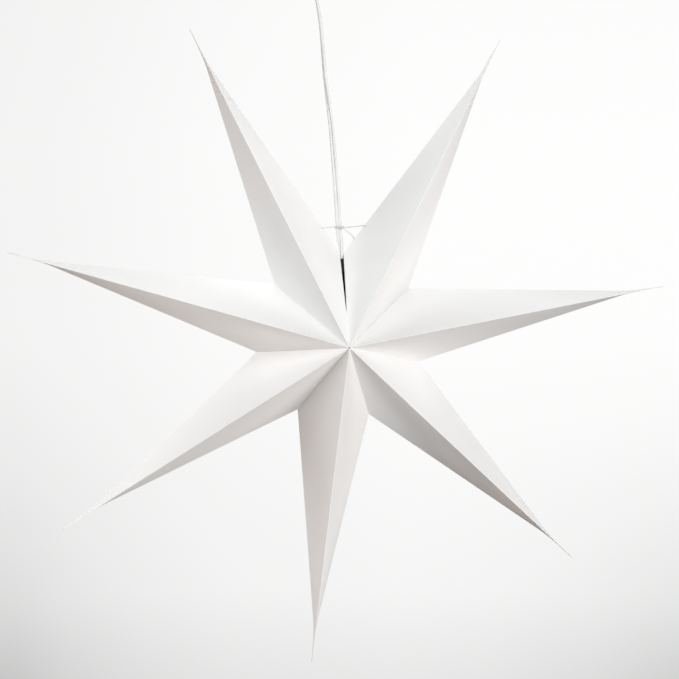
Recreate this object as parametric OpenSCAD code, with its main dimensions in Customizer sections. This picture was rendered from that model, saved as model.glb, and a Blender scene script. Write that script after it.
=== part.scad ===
// Seven-pointed paper star lantern, hung by its lamp cable from a ceiling cup.
// Each point is one folded card sheet. Neighbours are glued flap to flap inside the valleys.
// The seam at the top stays open for the lamp and is closed by a string tied round the cable.
// Origin at the centre of the ceiling plate's upper face, +Z up, front of the star towards -Y.

/* [Star] */
// Distance from the star's centre to the tip of a point
tip_r = 308; // [260:1:360]
// Distance from the centre to the valley between two points
valley_r = 77; // [70:1:88]
// Distance from the centre to the front hub, and to the back hub
hub_d = 86; // [80:1:96]
// Distance from the ceiling down to the star's centre
drop = 394; // [394:1:420]
// Sideways distance from the ceiling cup's axis to the star's centre
star_x = 27; // [20:1:34]

/* [Paper] */
// Thickness of the card
paper_t = 0.4; // [0.3:0.05:0.6]
// Width of the glue flaps that are folded inwards along the valleys
flap_w = 8; // [6:0.5:9]
// Length of the tip that is pressed flat
flat_len = 22; // [14:1:34]
// Length over which a point closes into its flat tip
closing_len = 34; // [24:1:50]
// Length of the sharp end beyond the flat tip's last full section
needle_len = 5; // [3:0.5:8]
// Film of glue between two flaps
glue_line = 0.1; // [0.05:0.05:0.2]
// Reach of the corner that is clipped off each sheet at the hub
hub_clip = 0.7; // [0.5:0.1:2]

/* [Seam and tie] */
// Share of the open seam's length that stands apart
seam_open_share = 0.62; // [0.4:0.02:0.8]
// Width of the lip that is turned in along the open part of the seam
seam_lip = 1; // [0.8:0.1:2]
// Room on each side of the cable where it passes through the seam
seam_clearance = 0.2; // [0.15:0.05:0.6]
// Diameter of the tie string
tie_d = 1.2; // [0.8:0.1:1.6]
// Diameter of the holes for the tie string
tie_hole_d = 2.4; // [2:0.1:3.2]
// Distance of the upper left point's tie hole from the valley, along the point's edge
tie_reach = 30; // [24:1:36]
// Distance of the upper right point's front tie hole from the valley
tie_right_reach = 34; // [26:1:40]
// Distance of the upper right point's back tie hole from the valley
tie_back_reach = 18; // [14:1:24]
// Distance of the tie holes in from the point's edge
tie_inset = 4; // [3:0.5:6]
// Diameter of the knot
knot_d = 3.4; // [2.8:0.1:4.5]

/* [Cable] */
// Width of the flat twin cable
flex_w = 5.4; // [4.8:0.1:5.8]
// Thickness of the flat twin cable
flex_t = 2.7; // [2.4:0.1:3]
// Room between the cable and the bores that it passes through
flex_clearance = 0.3; // [0.2:0.05:0.6]

/* [Lamp holder] */
// Outer diameter of the holder
holder_d = 27; // [25:0.5:30]
// Wall of the holder's cap and body
holder_wall = 1.8; // [1.4:0.1:2.4]
// Outer diameter of the cap at its cable entry
neck_d = 8; // [7.6:0.1:10]
// Height of the cap below its shoulder
cap_h = 13; // [10:0.5:18]
// Reach of the body's rim below the bulb's screw base
skirt_reach = 2; // [0.5:0.5:4]
// Length of the spigot by which the body fits into the cap
spigot_h = 9; // [7:0.5:10]
// Room between parts that fit into each other
fit_clearance = 0.15; // [0.1:0.05:0.3]
// Room between the cap's shoulder and the lips that rest on it
shoulder_clearance = 0.3; // [0.2:0.05:0.5]

/* [Bulb] */
// Diameter of the bulb's screw base
base_d = 13.6; // [13:0.1:14]
// Height of the bulb's screw base
base_h = 20; // [18:0.5:24]
// Diameter of the glass
glass_d = 45; // [35:1:50]
// Length of the glass from the base to its end
glass_h = 55; // [48:1:62]

/* [Ceiling cup] */
// Diameter of the cup at the ceiling
cup_d = 66; // [56:1:90]
// Height of the cup
cup_h = 30; // [26:1:44]
// Wall of the cup
cup_wall = 1.8; // [1.4:0.1:2.6]
// Thickness of the plate that is screwed to the ceiling
plate_t = 3; // [2:0.5:5]
// Distance between the plate's two screw holes
screw_spacing = 40; // [32:1:44]
// Diameter of the screw holes
screw_d = 4.5; // [3.5:0.1:5]
// Length of the cord grip below the cup
grip_len = 22; // [20:1:30]
// Diameter of the cord grip at the cup
grip_d = 13; // [11:0.5:16]
// Diameter of the cord grip at its lower end
grip_end_d = 8.6; // [8:0.1:10]

/* [Hidden] */

paper_white = [0.93, 0.93, 0.92];
cable_white = [0.9, 0.9, 0.88];
holder_black = [0.06, 0.06, 0.06];
brass = [0.75, 0.6, 0.3];
ceramic_white = [0.86, 0.85, 0.82];
glass_white = [0.95, 0.94, 0.9];

// The points are counted clockwise, seen from the front, from the upper left one.
points = 7;
// How far each point hangs from its even place in the round, in degrees
point_turn = [-0.1, 2.8, 4.6, 5.3, 4.9, 4.1, 2.0];
seam_valley = 1;

star_centre = [star_x, 0, -drop];
overrun = 1;
round_fn = 64;
fine_fn = 32;

// Plan of a sheet. A share of 0 is at the mouth or the ridge, and 1 at the tip or the edge.
closing_share = 1 - (flat_len + closing_len) / tip_r;
flat_share = 1 - flat_len / tip_r;
needle_share = 1 - needle_len / tip_r;
straight_rows = 5;
closing_rows = 4;
row_shares = concat(
    [for (i = [0 : straight_rows]) closing_share * i / straight_rows],
    [for (i = [1 : closing_rows]) mix(closing_share, flat_share, i / closing_rows)],
    [mix(flat_share, needle_share, 0.5), needle_share]);
rows = len(row_shares);
// The inside ends where the two halves come together.
inner_rows = straight_rows + 2;

valley_len = norm([valley_r, hub_d]);
flap_hub_angle = 35;
flap_valley_angle = 40;
// How full the open seam is in its middle: 1 is a straight taper
seam_fullness_share = 0.8;
clip_share = hub_clip / valley_r;
column_shares = [0, clip_share,
    clip_share + flap_w / (valley_len * tan(flap_hub_angle)),
    1 - seam_open_share, 1 - seam_open_share + flap_w / (valley_len * tan(flap_valley_angle)),
    1 - flap_w / (valley_len * tan(flap_valley_angle)), 1];
columns = len(column_shares) - 1;
loop = 4 * columns;

// Panels run clockwise round a point, seen from its tip: face -1 is the front, side 1 the clockwise one.
panel_face = [-1, 1, 1, -1];
panel_side = [1, 1, -1, -1];
panel_slope = 0.001;

function mix(a, b, share) = a + (b - a) * share;
function unit(v) = v / norm(v);
function heading(angle) = [sin(angle), 0, cos(angle)];
function point_angle(k) = 360 / points * (k - 0.5) + point_turn[(k + points) % points];
function valley_angle(j) = (point_angle(j - 1) + point_angle(j)) / 2;
seam_angle = valley_angle(seam_valley);

// Share of a point's full width that is left at a share of its length: straight, then curving to nothing.
function opening(a) =
    let (middle = (closing_share + flat_share) / 2, reach = (flat_share - closing_share) / 2)
    a <= closing_share ? 1 - a / middle
    : a >= flat_share ? 0
    : pow(flat_share - a, 2) / (4 * reach * middle);

// Index of the valley on one side of point k
function side_valley(k, side) = side > 0 ? k + 1 : k;

// Ridge of point k on one face, from the hub to the tip
function ridge(k, face, a) =
    let (along = mix(hub_clip, tip_r, a))
    heading(point_angle(k)) * along + [0, face * hub_d * (1 - along / tip_r), 0];

// Side edge of point k, from the valley to the tip
function edge(k, side, a) =
    let (spread = valley_angle(side_valley(k, side)) - point_angle(k),
        half_w = mix(paper_t, valley_r * abs(sin(spread)), opening(a)))
    heading(point_angle(k)) * mix(valley_r * cos(spread), tip_r, a)
    + heading(point_angle(k) + 90) * side * half_w;

// Outer face of a panel, straight from its ridge to its edge
function panel(k, face, side, a, c) = mix(ridge(k, face, a), edge(k, side, a), c);

// The same face, drawn back from the gap to the neighbouring sheet
function sheet(k, face, side, a, c) = panel(k, face, side, a, c)
    - flap_normal(k, side) * half_gap(k, side, c) * c * (1 - a);

// Outward normal of a panel
function panel_normal(k, face, side, a, c) =
    let (forward = panel(k, face, side, min(a + panel_slope, 1), c)
            - panel(k, face, side, max(a - panel_slope, 0), c),
        across = edge(k, side, a) - ridge(k, face, a))
    unit(cross(forward, across)) * face * side;

// Outward normal of the flaps on one side of point k, which lie in the plane of the seam
function flap_normal(k, side) = heading(valley_angle(side_valley(k, side)) + 90) * side;

// Direction in which a flap runs inwards from its valley
function flap_run(k, face, side) =
    (heading(valley_angle(side_valley(k, side))) * -hub_d + [0, -face * valley_r, 0]) / valley_len;

// Half of the gap to the neighbouring sheet, at a share of the valley from the hub
function half_gap(k, side, c) =
    let (seam = side_valley(k, side) == seam_valley,
        open = pow(max(0, (c - 1 + seam_open_share) / seam_open_share), seam_fullness_share))
    glue_line / 2 + (seam ? open * (flex_t / 2 + seam_clearance) : 0);

// Corner of the outer face in row i at column share c of a panel
function outer_corner(k, face, side, i, c) =
    let (a = row_shares[i])
    c == 0 ? ridge(k, face, a)
    : i > 0 ? sheet(k, face, side, a, c)
    : mix([0, face * hub_d, 0], edge(k, side, 0), c) - flap_normal(k, side) * half_gap(k, side, c);

// Steps from the outer to the inner face where one, two or three planes meet
function step2(n, m) = -paper_t * (n + m) / (1 + n * m);
function step3(n, m, o) =
    -paper_t * (cross(m, o) + cross(o, n) + cross(n, m)) / (n * cross(m, o));

function inner_step(k, face, side, i, c) =
    let (a = row_shares[i],
        own = panel_normal(k, face, side, a, c),
        flap = flap_normal(k, side))
    c == 0 ? step2(own, panel_normal(k, face, -side, a, c))
    : i == 0 && c == 1 ? step3(own, panel_normal(k, -face, side, a, c), flap)
    : c == 1 ? step2(own, panel_normal(k, -face, side, a, c))
    : i == 0 ? step2(own, flap)
    : -paper_t * own;

// Column share at place j of the loop round a point
function column_share(j) =
    let (p = floor(j / columns), m = j % columns)
    column_shares[p % 2 == 0 ? m : columns - m];

function outer_ring(k, i) = [for (j = [0 : loop - 1])
    let (p = floor(j / columns))
    outer_corner(k, panel_face[p], panel_side[p], i, column_share(j))];

function inner_ring(k, i) = [for (j = [0 : loop - 1])
    let (p = floor(j / columns), face = panel_face[p], side = panel_side[p], c = column_share(j))
    outer_corner(k, face, side, i, c) + inner_step(k, face, side, i, c)];

// Width of a flap at a column: full where it is glued, and only a lip along the open part of the seam
function flap_width(k, side, m) =
    side_valley(k, side) == seam_valley && column_shares[m] > 1 - seam_open_share ? seam_lip : flap_w;

// Free edge of a panel's flap, between its two slanted ends
function flap_edge(k, p, depth) = [for (m = [2 : columns - 1])
    outer_corner(k, panel_face[p], panel_side[p], 0, column_shares[m])
    + flap_run(k, panel_face[p], panel_side[p]) * flap_width(k, panel_side[p], m)
    - flap_normal(k, panel_side[p]) * depth];

// Index of corner j in row i of a grid, and of corner m of the flap on panel p
function at(i, j) = i * loop + (j + loop) % loop;
flap_count = columns - 2;
function flap_at(p, m) = p * flap_count + m - 2;

// A panel's row of mouth corners, from the ridge to the edge, as places of the loop
function mouth_place(p, m) = p % 2 == 0 ? p * columns + m : (p + 1) * columns - m;

// Rim of one panel with its flap, from the ridge to the edge: pairs of a grid flag and an index
function panel_rim(p) = concat(
    [[true, at(0, mouth_place(p, 0))], [true, at(0, mouth_place(p, 1))]],
    [for (m = [2 : columns - 1]) [false, flap_at(p, m)]],
    [[true, at(0, mouth_place(p, columns))]]);
function reversed(list) = [for (i = [len(list) - 1 : -1 : 0]) list[i]];
function drop_last(list) = [for (i = [0 : len(list) - 2]) list[i]];
function whole_rim() = [for (p = [0 : 3])
    each drop_last(p % 2 == 0 ? panel_rim(p) : reversed(panel_rim(p)))];

// Triangles of a flap against its panel. The order turns over on every second panel.
function flap_faces(p, grid, flap) =
    let (g = [for (m = [1 : columns]) grid + at(0, mouth_place(p, m))],
        f = [for (m = [2 : columns - 1]) flap + flap_at(p, m)],
        last = flap_count - 1,
        raw = concat(
            [[g[0], f[0], g[1]]],
            [for (m = [0 : last - 1]) each [[g[m + 1], f[m], f[m + 1]], [g[m + 1], f[m + 1], g[m + 2]]]],
            [[g[last + 1], f[last], g[last + 2]]]))
    p % 2 == 0 ? raw : [for (t = raw) reversed(t)];

function turned(faces) = [for (t = faces) reversed(t)];
function grid_faces(count, base) = [for (i = [0 : count - 2], j = [0 : loop - 1]) each [
    [base + at(i, j), base + at(i, j + 1), base + at(i + 1, j + 1)],
    [base + at(i, j), base + at(i + 1, j + 1), base + at(i + 1, j)]]];
function fan_faces(row, apex, base) = [for (j = [0 : loop - 1])
    [base + at(row, j), base + at(row, j + 1), apex]];

// One folded sheet: an outer and an inner face that meet along the rim of the mouth and its flaps
module folded_point(k) {
    axis = heading(point_angle(k));
    outer = [for (i = [0 : rows - 1]) each outer_ring(k, i)];
    inner = [for (i = [0 : inner_rows - 1]) each inner_ring(k, i)];
    outer_flaps = [for (p = [0 : 3]) each flap_edge(k, p, 0)];
    inner_flaps = [for (p = [0 : 3]) each flap_edge(k, p, paper_t)];
    tip = axis * tip_r;
    inner_tip = axis * mix(valley_r, tip_r, row_shares[inner_rows]);
    tip_at = len(outer);
    flap_base = tip_at + 1;
    inner_base = flap_base + len(outer_flaps);
    inner_tip_at = inner_base + len(inner);
    inner_flap_base = inner_tip_at + 1;
    rim = whole_rim();
    function rim_out(q) = let (e = rim[q % len(rim)]) e[0] ? e[1] : flap_base + e[1];
    function rim_in(q) = let (e = rim[q % len(rim)]) e[0] ? inner_base + e[1] : inner_flap_base + e[1];
    faces = concat(
        turned(grid_faces(rows, 0)),
        turned(fan_faces(rows - 1, tip_at, 0)),
        grid_faces(inner_rows, inner_base),
        fan_faces(inner_rows - 1, inner_tip_at, inner_base),
        [for (p = [0 : 3]) each turned(flap_faces(p, 0, flap_base))],
        [for (p = [0 : 3]) each flap_faces(p, inner_base, inner_flap_base)],
        [for (q = [0 : len(rim) - 1]) each [
            [rim_out(q), rim_in(q + 1), rim_in(q)],
            [rim_out(q), rim_out(q + 1), rim_in(q + 1)]]]);
    polyhedron(concat(outer, [tip], outer_flaps, inner, [inner_tip], inner_flaps), faces);
}

// Where a tie hole goes through a panel: the share of the length and the share across
function hole_place(k, face, side, reach) =
    let (a = reach / norm(edge(k, side, 1) - edge(k, side, 0)))
    [a, 1 - tie_inset / norm(edge(k, side, a) - ridge(k, face, a))];
function hole_spot(k, face, side, reach) =
    let (h = hole_place(k, face, side, reach)) sheet(k, face, side, h[0], h[1]);
function hole_normal(k, face, side, reach) =
    let (h = hole_place(k, face, side, reach)) panel_normal(k, face, side, h[0], h[1]);

module tie_hole(k, face, side, reach) {
    n = hole_normal(k, face, side, reach);
    translate(hole_spot(k, face, side, reach)) rotate([0, acos(n[2]), atan2(n[1], n[0])])
        cylinder(h = 2 * tie_hole_d, d = tie_hole_d, center = true, $fn = fine_fn);
}

module point_node(k) {
    color(paper_white) translate(star_centre) folded_point(k);
}

module point_upper_left() {
    color(paper_white) translate(star_centre) difference() {
        folded_point(0);
        tie_hole(0, -1, 1, tie_reach);
    }
}

module point_upper_right() {
    color(paper_white) translate(star_centre) difference() {
        folded_point(1);
        tie_hole(1, -1, -1, tie_right_reach);
        tie_hole(1, 1, -1, tie_back_reach);
    }
}

module point_right() { point_node(2); }
module point_lower_right() { point_node(3); }
module point_bottom() { point_node(4); }
module point_lower_left() { point_node(5); }
module point_left() { point_node(6); }

// Frames carried along a route without turning round it
function way(route, i) =
    let (last = len(route) - 1)
    unit(route[min(i + 1, last)] - route[max(i - 1, 0)]);
function carried(route, side, i = 0) =
    let (t = way(route, i), n = unit(side - t * (side * t)))
    i == len(route) - 1 ? [n] : concat([n], carried(route, n, i + 1));

// Closed tube from rings of equal length
module ring_tube(rings) {
    sides = len(rings[0]);
    last = len(rings) - 1;
    skin = [for (i = [0 : last - 1], j = [0 : sides - 1]) each [
        [i * sides + j, (i + 1) * sides + (j + 1) % sides, i * sides + (j + 1) % sides],
        [i * sides + j, (i + 1) * sides + j, (i + 1) * sides + (j + 1) % sides]]];
    polyhedron([for (r = rings) each r], concat(skin,
        [[for (j = [0 : sides - 1]) j]],
        [[for (j = [0 : sides - 1]) last * sides + sides - 1 - j]]));
}

// Route of the cable, from inside the ceiling cup to inside the lamp holder, and its turn in degrees:
// 0 shows its broad side to the front, 90 its edge
cable_route = [
    [0, 0, -18], [0, 0, -32], [0, 0, -46], [0, 0, -54], [0.5, 0, -60], [1.5, 0, -66], [3, 0, -73],
    [5, 0, -84], [7.5, 0, -97], [9.5, 0, -110], [11, 0, -124], [12.5, 0, -142], [14, 0, -160],
    [16.5, 0, -179], [19, 0, -198], [20.5, 0, -214], [22, 0, -232], [24, 0, -258], [25.5, 0, -282],
    [26.2, 0, -294], [26.5, 0, -299], [27.5, 0, -307], [28.5, 0, -313], [28.8, 0, -318],
    [28.6, 0, -324], [28.4, 0, -332], [28.25, 0, -341]];
cable_turn = [90, 90, 90, 90, 90, 90, 90, 88, 85, 82, 78, 74, 68, 54, 36, 28, 24, 16, 4, 0, 10, 38, 70,
    90, 90, 90, 90];
cable_sides = 12;

// Oval outline of the cable: two rounded edges with flats between them
function flex_outline(j) =
    let (angle = 360 / cable_sides * (j + 0.5))
    [sign(cos(angle)) * (flex_w - flex_t) / 2 + cos(angle) * flex_t / 2, sin(angle) * flex_t / 2];

function cable_ring(i) =
    let (t = way(cable_route, i),
        x = unit([1, 0, 0] - t * t[0]),
        y = cross(t, x),
        turn = cable_turn[i])
    [for (j = [0 : cable_sides - 1])
        let (p = flex_outline(j))
        cable_route[i]
        + x * (p[0] * cos(turn) - p[1] * sin(turn))
        + y * (p[0] * sin(turn) + p[1] * cos(turn))];

module cable() {
    color(cable_white) ring_tube([for (i = [0 : len(cable_route) - 1]) cable_ring(i)]);
}

// Tie string: from a stopper knot in the upper left point, once round the cable, through the main knot,
// in at the front of the upper right point, out at its back and round to the knot again
tie_grip = [26.2, 0, -294];
tie_sides = 8;
tie_gap = 0.2;
tie_ease = tie_d;
tie_middle = 450;
tie_turns = [225, 255, 285, 315, 345, 375, 405, 435, 465, 495, 525, 555, 585, 615];
knot_ease = 0.1;
left_strand_shares = [0.35, 0.7];
right_strand_shares = [0.5, 0.8];
flat_turn_share = 0.3;
left_spot = star_centre + hole_spot(0, -1, 1, tie_reach);
left_normal = hole_normal(0, -1, 1, tie_reach);
right_spot = star_centre + hole_spot(1, -1, -1, tie_right_reach);
right_normal = hole_normal(1, -1, -1, tie_right_reach);
back_spot = star_centre + hole_spot(1, 1, -1, tie_back_reach);
back_normal = hole_normal(1, 1, -1, tie_back_reach);
stopper = left_spot - left_normal * (paper_t + knot_ease + knot_d / 2);
// Place of the main knot beside the cable, as shares of the cable's width
knot_side_shares = [0.65, -0.7, -0.06];
knot = tie_grip + flex_w * knot_side_shares;
function round_cable(angle) =
    let (r = flex_t / 2 + tie_gap + tie_d / 2)
    tie_grip + [
        (flex_w - flex_t) / 2 * max(-1, min(1, cos(angle) / flat_turn_share)) + r * cos(angle),
        r * sin(angle),
        (tie_middle - angle) / 360 * (tie_d + tie_gap)];
back_edge = star_centre + sheet(1, 1, -1, hole_place(1, 1, -1, tie_back_reach)[0], 1)
    + flap_normal(1, -1) * (tie_d + tie_gap);
tie_end = knot + unit(back_edge - knot) * (knot_d / 2 + tie_d / 2);

// Lengthwise places and widths of a knot along the string, as shares of its half length and half width
knot_place_shares = [-1, -0.8, -0.4, 0, 0.4, 0.8, 1];
knot_width_shares = [0.36, 0.66, 0.94, 1, 0.94, 0.66, 0.36];
function knot_spots(centre, run) = [for (s = knot_place_shares) centre + unit(run) * s * knot_d / 2];
function knot_radii() = [for (s = knot_width_shares) s * knot_d / 2];

right_run = right_spot + right_normal * tie_ease - knot;
tie_route = concat(
    knot_spots(stopper, left_normal),
    [left_spot + left_normal * tie_ease / 2, left_spot + left_normal * tie_ease
        + unit(round_cable(tie_turns[0]) - left_spot) * tie_ease],
    [for (s = left_strand_shares) mix(left_spot + left_normal * tie_ease, round_cable(tie_turns[0]), s)],
    [for (angle = tie_turns) round_cable(angle)],
    knot_spots(knot, right_run),
    [for (s = right_strand_shares) knot + right_run * s],
    [right_spot + right_normal * tie_ease, right_spot + right_normal * tie_ease / 4,
        right_spot - right_normal * tie_ease],
    [mix(right_spot - right_normal * tie_ease * 2, back_spot - back_normal * tie_ease * 2, 0.5)],
    [back_spot - back_normal * tie_ease, back_spot + back_normal * tie_ease / 4,
        back_spot + back_normal * tie_ease],
    [mix(back_spot + back_normal * tie_ease, back_edge, 0.6), mix(back_edge, tie_end, 0.2),
        mix(back_edge, tie_end, 0.6), tie_end]);
knot_at = len(knot_place_shares) + 4 + len(tie_turns);
tie_radii = [for (i = [0 : len(tie_route) - 1])
    i < len(knot_place_shares) ? knot_radii()[i]
    : i >= knot_at && i < knot_at + len(knot_place_shares) ? knot_radii()[i - knot_at]
    : tie_d / 2];

module tie_string() {
    normals = carried(tie_route, [0, 0, 1]);
    rings = [for (i = [0 : len(tie_route) - 1])
        let (t = way(tie_route, i), x = normals[i], y = cross(t, x))
        [for (j = [0 : tie_sides - 1])
            let (angle = 360 / tie_sides * j)
            tie_route[i] + (x * cos(angle) + y * sin(angle)) * tie_radii[i]]];
    color(cable_white) ring_tube(rings);
}

// Lamp holder, on an axis through the star's centre and the open seam.
// The lips of the seam rest on the cap's sloping shoulder, close under the notch.
function shoulder_z(r) =
    valley_r - (valley_len * (seam_lip + shoulder_clearance) + r * valley_r) / hub_d;
holder_r = holder_d / 2;
neck_top = shoulder_z(neck_d / 2);
cap_top = shoulder_z(holder_r);
cap_end = cap_top - cap_h;
flex_bore_r = flex_w / 2 + flex_clearance;
neck_h = 6;
spigot_r = holder_r - holder_wall - fit_clearance;
body_bore_r = spigot_r - holder_wall;
ledge_w = 1.2;
ledge_h = 2;
insert_r = body_bore_r - fit_clearance;
insert_h = 14;
insert_roof = 4;
insert_end = cap_end - insert_h;
shell_clearance = 0.25;
shell_t = 0.4;
shell_bore_r = base_d / 2 + shell_clearance;
shell_h = 18;
shell_top = insert_end + insert_h - insert_roof - fit_clearance;
contact_t = 0.8;
contact_r = 4;
base_top = shell_top + fit_clearance - contact_t - 2 * fit_clearance;
base_end = base_top - base_h;
body_end = base_end - skirt_reach;

module on_lamp_axis() {
    translate(star_centre) rotate([0, seam_angle, 0]) children();
}

module holder_cap() {
    bore_wall_r = flex_bore_r + holder_wall;
    color(holder_black) on_lamp_axis() rotate_extrude($fn = round_fn) polygon([
        [flex_bore_r, neck_top], [neck_d / 2, neck_top],
        [holder_r, cap_top], [holder_r, cap_end],
        [holder_r - holder_wall, cap_end], [holder_r - holder_wall, cap_top - holder_wall],
        [bore_wall_r, neck_top - neck_h], [flex_bore_r, neck_top - neck_h]]);
}

module holder_body() {
    lead = holder_wall / 2;
    color(holder_black) on_lamp_axis() rotate_extrude($fn = round_fn) polygon([
        [body_bore_r, cap_end + spigot_h], [spigot_r, cap_end + spigot_h],
        [spigot_r, cap_end - fit_clearance], [holder_r, cap_end - fit_clearance],
        [holder_r, body_end + lead], [holder_r - lead, body_end],
        [body_bore_r, body_end],
        [body_bore_r, insert_end - fit_clearance - ledge_h],
        [body_bore_r - ledge_w, insert_end - fit_clearance - ledge_h],
        [body_bore_r - ledge_w, insert_end - fit_clearance],
        [body_bore_r, insert_end - fit_clearance]]);
}

module contact_insert() {
    pocket_r = shell_bore_r + shell_t + fit_clearance;
    color(ceramic_white) on_lamp_axis() rotate_extrude($fn = round_fn) polygon([
        [0, insert_end + insert_h], [insert_r, insert_end + insert_h], [insert_r, insert_end],
        [pocket_r, insert_end], [pocket_r, insert_end + insert_h - insert_roof],
        [0, insert_end + insert_h - insert_roof]]);
}

module screw_shell() {
    color(brass) on_lamp_axis() translate([0, 0, shell_top - shell_h]) difference() {
        cylinder(h = shell_h, r = shell_bore_r + shell_t, $fn = round_fn);
        translate([0, 0, -overrun]) cylinder(h = shell_h + 2 * overrun, r = shell_bore_r, $fn = round_fn);
    }
}

module centre_contact() {
    color(brass) on_lamp_axis()
        translate([0, 0, shell_top + fit_clearance - contact_t - fit_clearance / 2])
        cylinder(h = contact_t, r = contact_r, $fn = fine_fn);
}

// Bulb with its base upwards, one sealed piece
glass_r = glass_d / 2;
glass_end = base_end - glass_h;
glass_mid = glass_end + glass_r;
glass_neck_angle = 62;
glass_steps = 16;
cone_h = 3;
nub_r = 2.5;
nub_h = 1;
glass_neck_r = base_d / 2 - shell_t;

module bulb() {
    color(glass_white) on_lamp_axis() rotate_extrude($fn = round_fn) polygon(concat(
        [[0, base_top], [nub_r, base_top], [nub_r, base_top - nub_h],
            [base_d / 2, base_top - nub_h - cone_h], [base_d / 2, base_end], [glass_neck_r, base_end]],
        [for (i = [0 : glass_steps])
            let (angle = mix(glass_neck_angle, -90, i / glass_steps))
            [i == glass_steps ? 0 : glass_r * cos(angle), glass_mid + glass_r * sin(angle)]]));
}

// Ceiling cup with its plate and cord grip
cup_r = cup_d / 2;
cup_rim_h = 5;
foot_w = 3;
cup_foot_r = grip_d / 2 + foot_w;
shank_step = 1.5;
shank_r = grip_d / 2 - shank_step;
grip_bore_r = flex_w / 2 + flex_clearance;
collar_w = 1;
collar_r = grip_d / 2 + collar_w;
collar_h = 3;
cup_steps = 10;
wire_hole_d = 9;
wire_hole_y = 16;

// Curved wall of the cup from its rim to its foot, drawn in by a depth
function cup_wall_line(depth) = [for (i = [0 : cup_steps])
    let (angle = 90 * i / cup_steps)
    [cup_foot_r + (cup_r - depth - cup_foot_r) * cos(angle),
        -cup_rim_h - (cup_h - depth - cup_rim_h) * sin(angle)]];

module ceiling_cup() {
    hole_r = shank_r + fit_clearance;
    color(cable_white) rotate_extrude($fn = round_fn) polygon(concat(
        [[cup_r - cup_wall, 0], [cup_r, 0]],
        cup_wall_line(0),
        [[hole_r, -cup_h], [hole_r, -cup_h + cup_wall]],
        reversed(cup_wall_line(cup_wall))));
}

module ceiling_plate() {
    color(cable_white) difference() {
        translate([0, 0, -plate_t])
            cylinder(h = plate_t, r = cup_r - cup_wall - fit_clearance, $fn = round_fn);
        for (x = [-screw_spacing / 2, screw_spacing / 2])
            translate([x, 0, -plate_t - overrun])
                cylinder(h = plate_t + 2 * overrun, d = screw_d, $fn = fine_fn);
        translate([0, wire_hole_y, -plate_t - overrun])
            cylinder(h = plate_t + 2 * overrun, d = wire_hole_d, $fn = fine_fn);
    }
}

module cord_grip() {
    under = -cup_h - fit_clearance / 3;
    over = -cup_h + cup_wall + fit_clearance / 3;
    color(cable_white) rotate_extrude($fn = round_fn) polygon([
        [grip_bore_r, over + collar_h], [collar_r, over + collar_h], [collar_r, over],
        [shank_r, over], [shank_r, under], [grip_d / 2, under],
        [grip_end_d / 2, -cup_h - grip_len], [grip_bore_r, -cup_h - grip_len]]);
}

point_upper_left();
point_upper_right();
point_right();
point_lower_right();
point_bottom();
point_lower_left();
point_left();
tie_string();
cable();
holder_cap();
holder_body();
contact_insert();
screw_shell();
centre_contact();
bulb();
ceiling_cup();
ceiling_plate();
cord_grip();
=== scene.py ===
"""Paper star lantern: folded paper points, twin cable, tie string, lamp, ceiling cup and stage."""
import math

import bpy
import numpy as np
from mathutils import Matrix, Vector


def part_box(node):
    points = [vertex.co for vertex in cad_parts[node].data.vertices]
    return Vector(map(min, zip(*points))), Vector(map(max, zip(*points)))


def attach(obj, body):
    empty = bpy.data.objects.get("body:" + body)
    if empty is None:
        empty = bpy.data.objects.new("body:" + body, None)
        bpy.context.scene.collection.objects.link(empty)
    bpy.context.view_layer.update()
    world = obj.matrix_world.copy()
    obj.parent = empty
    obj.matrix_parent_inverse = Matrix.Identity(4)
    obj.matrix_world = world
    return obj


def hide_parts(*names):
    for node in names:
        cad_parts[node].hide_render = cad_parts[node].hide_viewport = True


bl_info = {
    "name": "Paper Star Lantern",
    "version": (1, 0, 0),
    "blender": (4, 5, 0),
    "location": "View3D > Sidebar > Star",
    "description": "Builds a folded paper star lantern on its fixed frame",
    "category": "Add Mesh",
}

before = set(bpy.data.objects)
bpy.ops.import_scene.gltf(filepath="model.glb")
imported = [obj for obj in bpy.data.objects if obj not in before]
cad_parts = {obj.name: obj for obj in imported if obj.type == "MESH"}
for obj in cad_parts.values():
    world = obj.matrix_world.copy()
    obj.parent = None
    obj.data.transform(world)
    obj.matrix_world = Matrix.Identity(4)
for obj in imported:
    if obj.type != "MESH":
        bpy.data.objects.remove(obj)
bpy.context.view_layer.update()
# One millimetre in metres
MM = 0.001

POINT_NODES = ("point_upper_left", "point_upper_right", "point_right", "point_lower_right",
               "point_bottom", "point_lower_left", "point_left")
# Degrees by which each point hangs off its even place in the round
POINT_TURN = (-0.1, 2.8, 4.6, 5.3, 4.9, 4.1, 2.0)
# Number of the valley that stays open
SEAM_VALLEY = 1
# Panels of a point in their order round it: face (-1 front, 1 back) and side (1 clockwise)
PANELS = ((-1, 1), (1, 1), (1, -1), (-1, -1))

# Route of the cable from the ceiling cup to the lamp holder, in millimetres, and its turn in degrees
CABLE_ROUTE = (
    (0, 0, -18), (0, 0, -32), (0, 0, -46), (0, 0, -54), (0.5, 0, -60), (1.5, 0, -66), (3, 0, -73),
    (5, 0, -84), (7.5, 0, -97), (9.5, 0, -110), (11, 0, -124), (12.5, 0, -142), (14, 0, -160),
    (16.5, 0, -179), (19, 0, -198), (20.5, 0, -214), (22, 0, -232), (24, 0, -258), (25.5, 0, -282),
    (26.2, 0, -294), (26.5, 0, -299), (27.5, 0, -307), (28.5, 0, -313), (28.8, 0, -318),
    (28.6, 0, -324), (28.4, 0, -332), (28.25, 0, -341))
CABLE_TURN = (90, 90, 90, 90, 90, 90, 90, 88, 85, 82, 78, 74, 68, 54, 36, 28, 24, 16, 4, 0, 10, 38, 70,
              90, 90, 90, 90)
# Even steps of the smooth path between two points of the cable's route and of the string's
CABLE_STEPS = 8
STRING_STEPS = 6

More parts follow.
